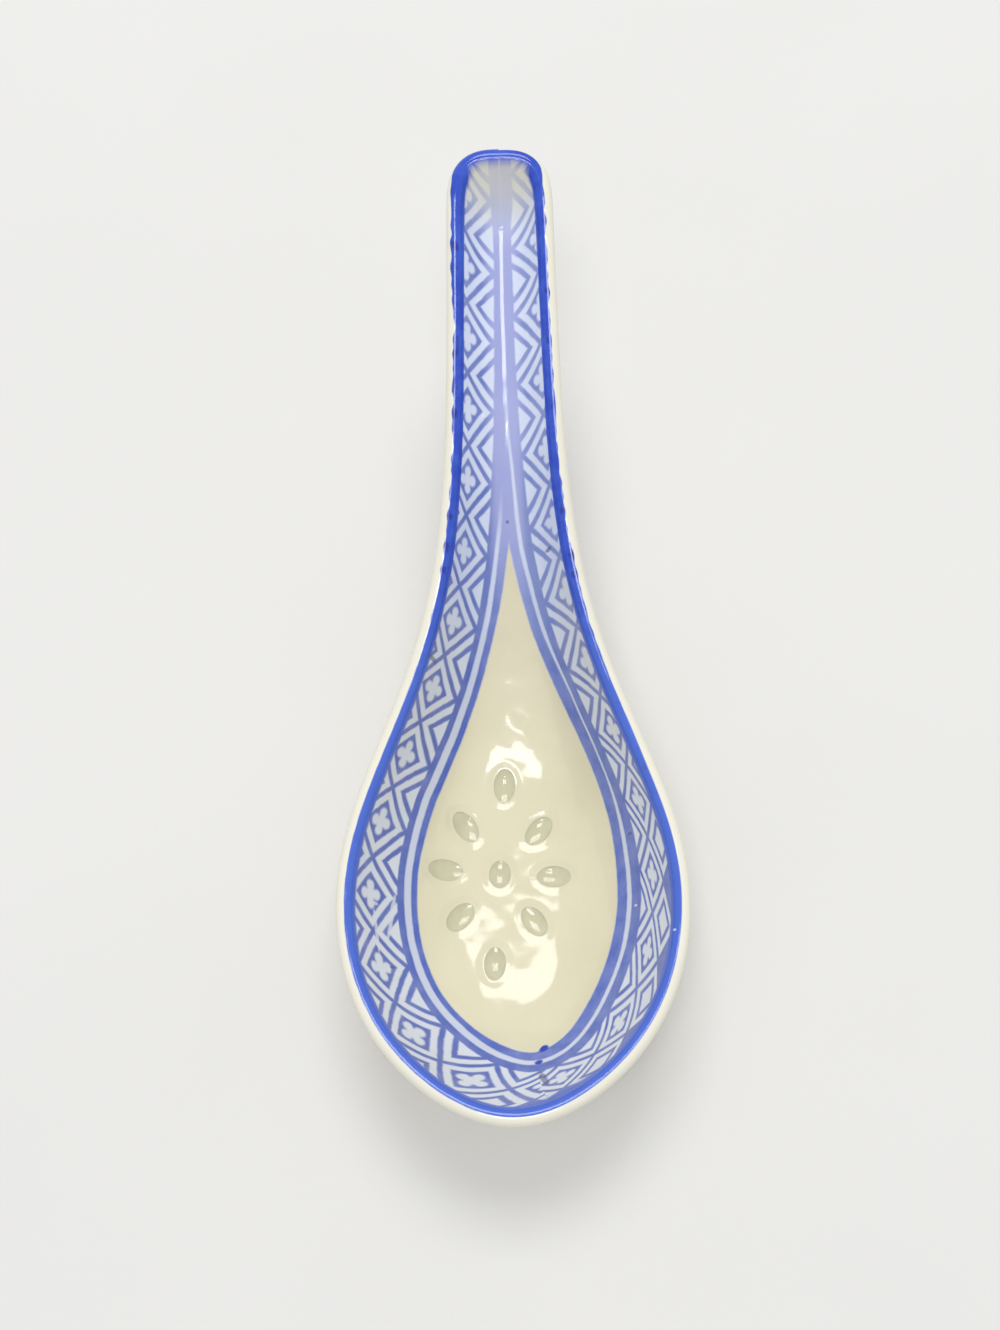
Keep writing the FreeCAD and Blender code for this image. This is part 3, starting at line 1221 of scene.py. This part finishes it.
# -------------------------------------------------------------------------------------------- pieces
@dataclass(frozen=True)
class GrainWindow:
    """One rice-grain window: an oval bored straight down through the floor and its plug of glaze.

    The plug is seated a hair into the wall, and its dished faces start a small step below the wall's.
    """

    name: str
    x: float
    y: float
    heading: float
    length: float
    width: float = 3.0
    edge_step: float = 0.03
    dish: float = 0.36
    seat: float = 1.008
    bore_up: float = 3.0
    bore_down: float = 6.0
    bore_sides: int = 64
    plug_steps: tuple = (56, 28)
    plug_equator: float = 0.02

    def outline(self, turn: np.ndarray, share: np.ndarray) -> tuple[np.ndarray, np.ndarray]:
        """Plan places in the window.

        Args:
            turn: angle round the window.
            share: 0 in its middle and 1 on its edge.

        Returns:
            x and y.
        """
        along = self.length / 2 * np.cos(turn) * share
        across = self.width / 2 * np.sin(turn) * share
        cos, sin = math.cos(self.heading), math.sin(self.heading)
        return self.x + along * cos - across * sin, self.y + along * sin + across * cos

    def distance(self, places: np.ndarray) -> np.ndarray:
        """About how far plan places are from the window's edge, in millimetres."""
        offset = places - (self.x, self.y)
        cos, sin = math.cos(self.heading), math.sin(self.heading)
        along, across = offset @ (cos, sin), offset @ (-sin, cos)
        reach = np.hypot(along / (self.length / 2), across / (self.width / 2))
        return (reach - 1) * np.hypot(along, across) / np.maximum(reach, MERGE)

    def bore(self, form: PottedForm) -> bmesh.types.BMesh:
        """The tool that pierces the wall.

        Args:
            form: the potted wall.

        Returns:
            A closed prism, in metres.
        """
        made = bmesh.new()
        bmesh.ops.create_cone(
            made, cap_ends=True, segments=self.bore_sides, radius1=1.0, radius2=1.0, depth=2.0,
        )
        at = float(form.floor_height(np.array(self.x), np.array(self.y)))
        for vert in made.verts:
            turn = math.atan2(vert.co.y, vert.co.x)
            x, y = self.outline(np.array(turn), np.array(1.0))
            z = at + (self.bore_up if vert.co.z > 0 else -self.bore_down)
            vert.co = Vector((float(x), float(y), z)) * MM
        return made

    def plug(self, form: PottedForm) -> bmesh.types.BMesh:
        """The dished plug of glaze that fills the window.

        Args:
            form: the potted wall.

        Returns:
            A closed smooth lens, in metres.
        """
        made = bmesh.new()
        around, upward = self.plug_steps
        bmesh.ops.create_uvsphere(made, u_segments=around, v_segments=upward, radius=1.0)
        sphere = np.array([vert.co for vert in made.verts])
        turn = np.arctan2(sphere[:, 1], sphere[:, 0])
        share = np.hypot(sphere[:, 0], sphere[:, 1])
        x, y = self.outline(turn, share * self.seat)
        sunk = self.edge_step + self.dish * (1 - share ** 2)
        upper = form.floor_height(x, y) - sunk
        lower = form.underside(x, y) + sunk
        middle = (upper + lower) / 2
        z = np.where(sphere[:, 2] > 0, upper, lower)
        z = np.where(np.abs(sphere[:, 2]) < self.plug_equator, middle, z)
        # The sphere's faces point out and keep their sense here, which a recalculation would lose in the dish.
        for vert, place in zip(made.verts, np.stack([x, y, z], axis=-1)):
            vert.co = Vector(place) * MM
        return made


@dataclass(frozen=True)
class WindowFlower:
    """The nine windows in the well, pierced by hand as a loose flower."""

    x: float = -2.2
    y: float = 2.2
    turn: float = math.radians(-3.5)
    side_out: float = 7.5
    diagonal: tuple = (5.1, 6.4)
    end_out: float = 12.6
    petal_length: float = 4.7
    centre_length: float = 3.9

    def windows(self) -> list[GrainWindow]:
        """All windows, the centre one first.

        Returns:
            The windows.
        """
        diagonal_x, diagonal_y = self.diagonal
        petals = {
            "heel": (0, self.end_out), "toe": (0, -self.end_out),
            "left": (-self.side_out, 0), "right": (self.side_out, 0),
        }
        for row, step_y in (("heel", diagonal_y), ("toe", -diagonal_y)):
            petals[row + "_left"] = (-diagonal_x, step_y)
            petals[row + "_right"] = (diagonal_x, step_y)
        made = [GrainWindow("centre", self.x, self.y, self.turn + math.pi / 2, self.centre_length)]
        for name, (out_x, out_y) in petals.items():
            heading = math.atan2(out_y, out_x) + self.turn
            out = math.hypot(out_x, out_y)
            x, y = self.x + out * math.cos(heading), self.y + out * math.sin(heading)
            made.append(GrainWindow(name, x, y, heading, self.petal_length))
        return made


@dataclass(frozen=True)
class FootRing:
    """The oval ring that the spoon stands on, with rounded edges and a fillet of glaze under the wall."""

    length: float = 39.6
    width: float = 29.4
    breadth: float = 1.9
    spread: float = math.radians(10)
    edge: float = 0.28
    fillet: float = 1.3
    fillet_steps: int = 6
    edge_steps: int = 4
    root_out: float = 0.25
    root_up: float = 0.5
    segments: int = 160
    passes: int = 6

    def profile(self) -> list[tuple[float, float, bool]]:
        """The ring's section, round from the outer root to the inner one.

        Returns:
            Rows of distance out from the resting oval, height, and whether that is depth under the wall.
        """
        outer = [(self.fillet + self.root_out, -self.root_up, True)]
        inner = [(-self.breadth - self.fillet - self.root_out, -self.root_up, True)]
        for k in range(self.fillet_steps + 1):
            turn = math.pi / 2 * (1 - k / self.fillet_steps)
            extra = self.fillet * (1 - math.cos(turn))
            depth = self.fillet * (1 - math.sin(turn))
            outer.append((extra, depth, True))
            inner.append((-self.breadth - extra, depth, True))
        for k in range(self.edge_steps + 1):
            turn = math.pi / 2 * k / self.edge_steps
            inset, height = self.edge * (1 - math.cos(turn)), self.edge * (1 - math.sin(turn))
            outer.append((-inset, height, False))
            inner.append((-self.breadth + inset, height, False))
        return outer + inner[::-1]

    def build(self, form: PottedForm) -> bmesh.types.BMesh:
        """Sweep the section round the oval.

        Args:
            form: the potted wall.

        Returns:
            The closed ring, in metres.
        """
        made = bmesh.new()
        rank = made.verts.layers.int.new("rank")
        profile = self.profile()
        # The spin only needs them apart: each gets its own place on the oval below.
        ring = [made.verts.new((2.0, 0.0, 0.05 * k)) for k in range(len(profile))]
        for k, vert in enumerate(ring):
            vert[rank] = k
        edges = [made.edges.new((a, b)) for a, b in zip(ring, ring[1:] + ring[:1])]
        bmesh.ops.spin(
            made, geom=ring + edges, cent=(0, 0, 0), axis=(0, 0, 1), dvec=(0, 0, 0),
            angle=2 * math.pi, steps=self.segments, use_merge=True, use_duplicate=False,
        )
        turn = np.array([math.atan2(vert.co.y, vert.co.x) for vert in made.verts])
        out, height, hung = map(np.array, zip(*[profile[vert[rank]] for vert in made.verts]))
        oval = np.stack([self.width / 2 * np.cos(turn), self.length / 2 * np.sin(turn)], axis=-1)
        normal = np.stack([np.cos(turn) * self.length, np.sin(turn) * self.width], axis=-1)
        normal /= np.linalg.norm(normal, axis=1, keepdims=True)
        z = height.copy()
        lean = np.where(out > -self.breadth / 2, math.tan(self.spread), 0.0)
        for _ in range(self.passes):
            plan = oval + normal * (out + lean * np.maximum(z, 0))[:, None]
            z = np.where(hung, form.underside(plan[:, 0], plan[:, 1]) - height, height)
        for vert, place in zip(made.verts, np.column_stack([plan, z])):
            vert.co = Vector(place) * MM
        bmesh.ops.remove_doubles(made, verts=made.verts, dist=MERGE)
        bmesh.ops.recalc_face_normals(made, faces=made.faces)
        return made


@dataclass
class SpoonBody:
    """The potted body: bowl, neck and channelled handle as one wall, with its foot ring and windows."""

    form: PottedForm
    border: BorderPlan
    foot: FootRing
    windows: list[GrainWindow]
    rim_stations: int = 250
    inner_stations: int = 46
    lip_stations: int = 12
    crowding: float = 1.35
    spine_front_inset: float = 10.0
    spine_end_inset: float = 12.0
    heading_step: float = 0.002
    rim_samples: int = 3001
    way_samples: int = 201
    first_step: float = 0.3
    crease: float = math.radians(38)
    cut_depth: float = 20.0
    foot_zone: float = 8.0
    halo_reach: float = 4.0
    rim_depths: np.ndarray = field(default=None, init=False)

    def sections(self) -> tuple[np.ndarray, np.ndarray]:
        """All sections of the right half's wall, from the tip to the handle's end.

        Returns:
            Points by section and place along it, and how far each is over the surface from the inner rim,
            positive down the inner side and negative over the lip.
        """
        form, count = self.form, self.rim_stations
        shares = 1 - (1 - np.arange(count + 1) / count) ** self.crowding
        travels = 3 * paced(form.rim_at(np.linspace(0, 3, self.rim_samples)), shares)
        rim = form.rim_at(travels)
        rim[0, 0] = rim[-1, 0] = 0.0
        ahead, behind = (
            form.floor_points(*form.rim_at(np.clip(travels + step, 0, 3)).T)
            for step in (self.heading_step, -self.heading_step)
        )
        heading = ahead - behind
        heading[0] = heading[-1] = (1, 0, 0)
        front, back = rim[0, 1] + self.spine_front_inset, rim[-1, 1] - self.spine_end_inset
        spine = front + (back - front) * shares
        made = [self.section(rim[k], np.array([0.0, spine[k]]), heading[k]) for k in range(count + 1)]
        points, depths = map(np.array, zip(*made))
        points[[0, -1], :, 0] = 0.0
        points[:, [0, -1], 0] = 0.0
        return points, depths

    def section(
        self, rim: np.ndarray, spine: np.ndarray, heading: np.ndarray,
    ) -> tuple[np.ndarray, np.ndarray]:
        """One section of the wall: from the spine up the inner side, over the lip and down the outer side.

        Args:
            rim: its plan place on the inner rim.
            spine: its plan place in the middle of the floor.
            heading: the way of the rim there.

        Returns:
            Its points, and how far each is over the surface from the inner rim.
        """
        form, inner, radius = self.form, self.inner_stations, self.form.lip_radius
        way = rim + (spine - rim) * np.linspace(0, 1, self.way_samples)[:, None]
        path = form.floor_points(way[:, 0], way[:, 1])
        first = min(0.5, inner * self.first_step / arc_lengths(path)[-1])
        t = np.linspace(0, 1, inner + 1)
        drops = paced(path, first * t + (1 - first) * t * t)
        place = rim + (spine - rim) * drops[:, None]
        inside = form.floor_points(place[:, 0], place[:, 1])
        outward = form.outward(place[:, 0], place[:, 1])
        across = outward[0]
        upward = np.cross(across, heading)
        upward /= np.linalg.norm(upward) * (1 if upward[2] > 0 else -1)
        turn = np.linspace(0, math.pi, self.lip_stations + 1)[1:-1, None]
        middle = inside[0] + across * radius
        lip = middle - across * radius * np.cos(turn) + upward * radius * np.sin(turn)
        depth = arc_lengths(inside)
        points = np.concatenate([inside[::-1], lip, inside + outward * form.wall])
        return points, np.concatenate([depth[::-1], -radius * turn[:, 0], -math.pi * radius - depth])

    def wall(self) -> bpy.types.Object:
        """The wall without foot or windows.

        Returns:
            The object, whose vertices carry their rank in the table of rim depths.
        """
        points, depths = self.sections()
        self.rim_depths = depths.ravel()
        rows, columns = depths.shape
        made = bmesh.new()
        rank = made.verts.layers.int.new("rank")
        bmesh.ops.create_grid(made, x_segments=rows - 1, y_segments=columns - 1, size=1.0)
        for vert in made.verts:
            row = round((vert.co.x + 1) / 2 * (rows - 1))
            column = round((vert.co.y + 1) / 2 * (columns - 1))
            vert[rank] = row * columns + column + 1
            vert.co = Vector(points[row, column]) * MM
        half = made.verts[:] + made.edges[:] + made.faces[:]
        bmesh.ops.mirror(made, geom=half, merge_dist=MIRROR_MERGE, axis="X")
        bmesh.ops.remove_doubles(made, verts=made.verts, dist=MERGE)
        bmesh.ops.recalc_face_normals(made, faces=made.faces)
        return piece("potted_body", made)

    def build(self) -> bpy.types.Object:
        """The whole body.

        Returns:
            The object with its border, rule and rim attributes.
        """
        body = self.wall()
        ring = piece("foot_ring_tool", self.foot.build(self.form))
        tools = bmesh.new()
        for window in self.windows:
            spare = bpy.data.meshes.new("bore")
            window.bore(self.form).to_mesh(spare)
            tools.from_mesh(spare)
            bpy.data.meshes.remove(spare)
        bores = piece("bore_tool", tools)
        combine(body, ring, "UNION")
        combine(body, bores, "DIFFERENCE")
        self.measure(body)
        body.data.shade_smooth()
        body.data.set_sharp_from_angle(angle=self.crease)
        return body

    def measure(self, body: bpy.types.Object) -> None:
        """Store where each corner lies in the border and how far each vertex is from rim and windows.

        Args:
            body: the finished body.
        """
        mesh = body.data
        co = values_of(mesh.vertices, "co", float, 3).reshape(-1, 3) / MM
        rank = values_of(mesh.attributes["rank"].data, "value", int)
        LOG.info("body: %d vertices, %d of them new along the cuts", len(rank), int((rank == 0).sum()))
        places = co[:, :2]
        border, rule = self.border_values(mesh, places)
        halo = np.min([window.distance(places) for window in self.windows], axis=0)
        store(mesh, "rim", "FLOAT", "POINT", self.rim_depth(co, rank))
        store(mesh, "border", "FLOAT_VECTOR", "CORNER", border)
        store(mesh, "rule", "FLOAT_VECTOR", "CORNER", rule)
        store(mesh, "halo", "FLOAT", "POINT", np.clip(halo, 0, self.halo_reach))
        mesh.attributes.remove(mesh.attributes["rank"])

    def rim_depth(self, co: np.ndarray, rank: np.ndarray) -> np.ndarray:
        """How far vertices are over the surface from the inner rim.

        A vertex of the wall has it by its rank. The ranks of the foot ring's vertices mean nothing and those
        made by a cut have none, so both are told by lying under the middle of the wall.

        Args:
            co: the vertices' places.
            rank: their ranks in the table of rim depths, or 0.

        Returns:
            The distances, positive down the inner side and negative over the lip.
        """
        below = co[:, 2] < self.form.floor_height(co[:, 0], co[:, 1]) - self.form.wall / 2
        depth = np.where(rank > 0, np.append(0.0, self.rim_depths)[rank], self.cut_depth)
        under = below & ((depth > 0) | (co[:, 2] < self.foot_zone))
        return np.where(under, -self.cut_depth, depth)

    def border_values(self, mesh: bpy.types.Mesh, places: np.ndarray) -> tuple[np.ndarray, np.ndarray]:
        """Where the corners of a mesh lie in the printed border.

        Each face counts as a whole to one half of the border, so that no face spans the seam.

        Args:
            mesh: the body's mesh.
            places: its vertices' plan places.

        Returns:
            Rows of repeats along and across and the distance from the well's edge; and rows of the white
            gap's start and end and the lattice's start, from that edge.
        """
        corners = values_of(mesh.loops, "vertex_index", int)
        sizes = values_of(mesh.polygons, "loop_total", int)
        face = np.repeat(np.arange(len(sizes)), sizes)

        def face_mean(values: np.ndarray) -> np.ndarray:
            """Mean of corner values over each face, given back to its corners."""
            total = np.bincount(face, values, len(sizes))
            return (total / sizes)[face]

        right = face_mean(places[corners, 0]) > 0
        chosen = np.zeros((len(corners), 3))
        for side, mask in ((Side.LEFT, ~right), (Side.RIGHT, right)):
            used, back = np.unique(corners[mask], return_inverse=True)
            chosen[mask] = np.column_stack(self.border.coordinates(places[used], side))[back]
        travel, across, from_well = chosen.T
        edges = self.border.ruled_lines(places[corners], right)
        well_edge, lattice_start = edges[:, 0], edges[:, 3]
        half_lozenge = np.maximum(from_well - lattice_start - across, self.border.least_half_lozenge)
        beyond_seam = face_mean(travel) > self.border.seam
        repeats = self.border.repeats(travel, across, half_lozenge, beyond_seam)
        return np.column_stack([repeats, from_well - well_edge]), edges[:, 1:] - edges[:, :1]


def values_of(items: bpy.types.bpy_prop_collection, name: str, kind: type, width: int = 1) -> np.ndarray:
    """One property of all items of a mesh collection.

    Args:
        items: the collection.
        name: the property.
        kind: float or int.
        width: numbers in one item.

    Returns:
        The values in one row.
    """
    values = np.zeros(len(items) * width, kind)
    items.foreach_get(name, values)
    return values


def store(mesh: bpy.types.Mesh, name: str, kind: str, domain: str, values: np.ndarray) -> None:
    """Keep values on a mesh as a named attribute.

    Args:
        mesh: the mesh.
        name: the attribute's name.
        kind: FLOAT or FLOAT_VECTOR.
        domain: POINT or CORNER.
        values: one value or row for each item.
    """
    key = "vector" if kind == "FLOAT_VECTOR" else "value"
    mesh.attributes.new(name, kind, domain).data.foreach_set(key, values.ravel())


def piece(name: str, made: bmesh.types.BMesh) -> bpy.types.Object:
    """Make an object of a finished bmesh.

    Args:
        name: the object's name.
        made: its mesh, in metres, which is freed.

    Returns:
        The object.
    """
    mesh = bpy.data.meshes.new(name)
    made.to_mesh(mesh)
    made.free()
    made_object = bpy.data.objects.new(name, mesh)
    bpy.context.scene.collection.objects.link(made_object)
    return made_object


def combine(body: bpy.types.Object, tool: bpy.types.Object, operation: str) -> None:
    """Join a tool to a body or cut it away, and remove the tool.

    Args:
        body: what is changed.
        tool: what is joined or cut away.
        operation: UNION or DIFFERENCE.
    """
    change = body.modifiers.new("combine", "BOOLEAN")
    change.operation = operation
    change.solver = "EXACT"
    change.object = tool
    bpy.context.view_layer.update()
    shaped = body.evaluated_get(bpy.context.evaluated_depsgraph_get())
    mesh = bpy.data.meshes.new_from_object(shaped)
    body.modifiers.clear()
    old = body.data
    body.data = mesh
    mesh.name = body.name
    bpy.data.meshes.remove(old)
    spare = tool.data
    bpy.data.objects.remove(tool)
    bpy.data.meshes.remove(spare)


# -------------------------------------------------------------------------------------------- studio
@dataclass(frozen=True)
class Lamp:
    """A soft box that looks at the spoon, in metres."""

    name: str
    azimuth: float
    elevation: float
    distance: float
    width: float
    height: float
    brightness: float

    def place(self, aim: Vector) -> None:
        """Add the lamp.

        Args:
            aim: what it looks at.
        """
        azimuth, elevation = math.radians(self.azimuth), math.radians(self.elevation)
        flat = math.cos(elevation)
        way = Vector((math.sin(azimuth) * flat, math.cos(azimuth) * flat, math.sin(elevation)))
        light = bpy.data.lights.new(self.name, "AREA")
        light.shape = "RECTANGLE"
        light.size, light.size_y = self.width, self.height
        light.energy = self.brightness * math.pi * self.width * self.height
        made = bpy.data.objects.new(self.name, light)
        made.location = aim + way * self.distance
        made.rotation_euler = way.to_track_quat("Z", "Y").to_euler()
        bpy.context.scene.collection.objects.link(made)


@dataclass(frozen=True)
class Studio:
    """Plain pale floor, soft lamps and the camera at the photograph's angle."""

    aim: tuple = (-0.00131, 0.0273, 0.020)
    elevation: float = math.radians(71)
    azimuth: float = math.radians(6.468)
    roll: float = math.radians(-7.315)
    distance: float = 0.27044
    lens: float = 54.14
    sensor: float = 36.0
    near_clip: float = 0.01
    floor_size: float = 6.0
    floor_dark: tuple = linear(219, 218, 215)
    floor_pale: tuple = linear(223, 222, 219)
    ambient: float = 0.66
    backdrop: float = 0.9
    backdrop_colour: tuple = (0.97, 0.98, 1.0, 1.0)
    lamps: tuple = (
        Lamp("front_spot", -171, 64, 0.9, 0.12, 0.05, 14.0),
        Lamp("front_soft_box", -176, 76.5, 0.9, 0.3, 0.16, 10.0),
        Lamp("back_soft_box", 2, 64, 0.9, 0.46, 0.34, 6.5),
    )

    def camera(self) -> None:
        """Add the camera."""
        side, up = math.sin(self.azimuth), math.cos(self.azimuth)
        flat = math.cos(self.elevation)
        back = Vector((side * flat, -up * flat, math.sin(self.elevation)))
        right = (-back).cross(Vector((0, 0, 1))).normalized()
        over = right.cross(-back)
        cos, sin = math.cos(self.roll), math.sin(self.roll)
        right, over = right * cos + over * sin, over * cos - right * sin
        lens = bpy.data.cameras.new("photo_view")
        lens.lens = self.lens
        lens.sensor_width = self.sensor
        lens.clip_start = self.near_clip
        made = bpy.data.objects.new("photo_view", lens)
        turn = Matrix((right, over, back)).transposed()
        made.matrix_world = Matrix.Translation(Vector(self.aim) + back * self.distance) @ turn.to_4x4()
        bpy.context.scene.collection.objects.link(made)
        bpy.context.scene.camera = made

    def floor(self) -> None:
        """Add the pale floor."""
        made = bmesh.new()
        bmesh.ops.create_grid(made, x_segments=4, y_segments=4, size=self.floor_size / 2)
        floor = piece("studio_floor", made)
        nodes = Dresser.material("studio_floor")
        tone = nodes.cloud(nodes.object_place(), 60, 2.0).patches(0.5, 1.0)
        colour = nodes.mix(tone, self.floor_dark, self.floor_pale)
        look = {"Base Color": colour, "Roughness": 0.7, "Specular IOR Level": 0.2}
        floor.data.materials.append(nodes.finish(look))

    def surroundings(self) -> None:
        """Even light from all round, with a pale background."""
        world = bpy.data.worlds.new("studio")
        bpy.context.scene.world = world
        nodes = Dresser(world)
        path = nodes.node("ShaderNodeLightPath", {}, {})
        camera, glossy, through = (
            Shade(nodes, path.outputs[f"Is {ray} Ray"]) for ray in ("Camera", "Glossy", "Transmission")
        )
        seen = camera.at_least(glossy.at_least(through))
        sockets = {"Value": seen, "To Min": self.ambient, "To Max": self.backdrop}
        level = nodes.shade("ShaderNodeMapRange", {}, sockets)
        sky = nodes.shade("ShaderNodeBackground", {}, {"Color": self.backdrop_colour, "Strength": level})
        nodes.node("ShaderNodeOutputWorld", {}, {"Surface": sky})

    def build(self) -> None:
        """Set up the whole studio."""
        self.floor()
        self.surroundings()
        self.camera()
        for lamp in self.lamps:
            lamp.place(Vector(self.aim))
        bpy.context.scene.view_settings.view_transform = "Standard"


def main() -> None:
    """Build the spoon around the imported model, then its studio."""
    logging.basicConfig(level=logging.INFO, format="%(message)s")
    form = PottedForm()
    windows = WindowFlower().windows()
    body = SpoonBody(form, BorderPlan(form), FootRing(), windows).build()
    LOG.info("%s: %d faces", body.name, len(body.data.polygons))
    body.data.materials.append(PorcelainFinish().build())
    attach(body, "root")
    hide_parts("porcelain_body")
    glaze = WindowGlazeFinish().build()
    for window in windows:
        plug = piece("window_" + window.name, window.plug(form))
        plug.data.shade_smooth()
        plug.data.materials.append(glaze)
        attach(plug, "root")
        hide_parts("glaze_window_" + window.name)
        LOG.info("%s: %d faces", plug.name, len(plug.data.polygons))
    Studio().build()


if __name__ == "__main__":
    main()
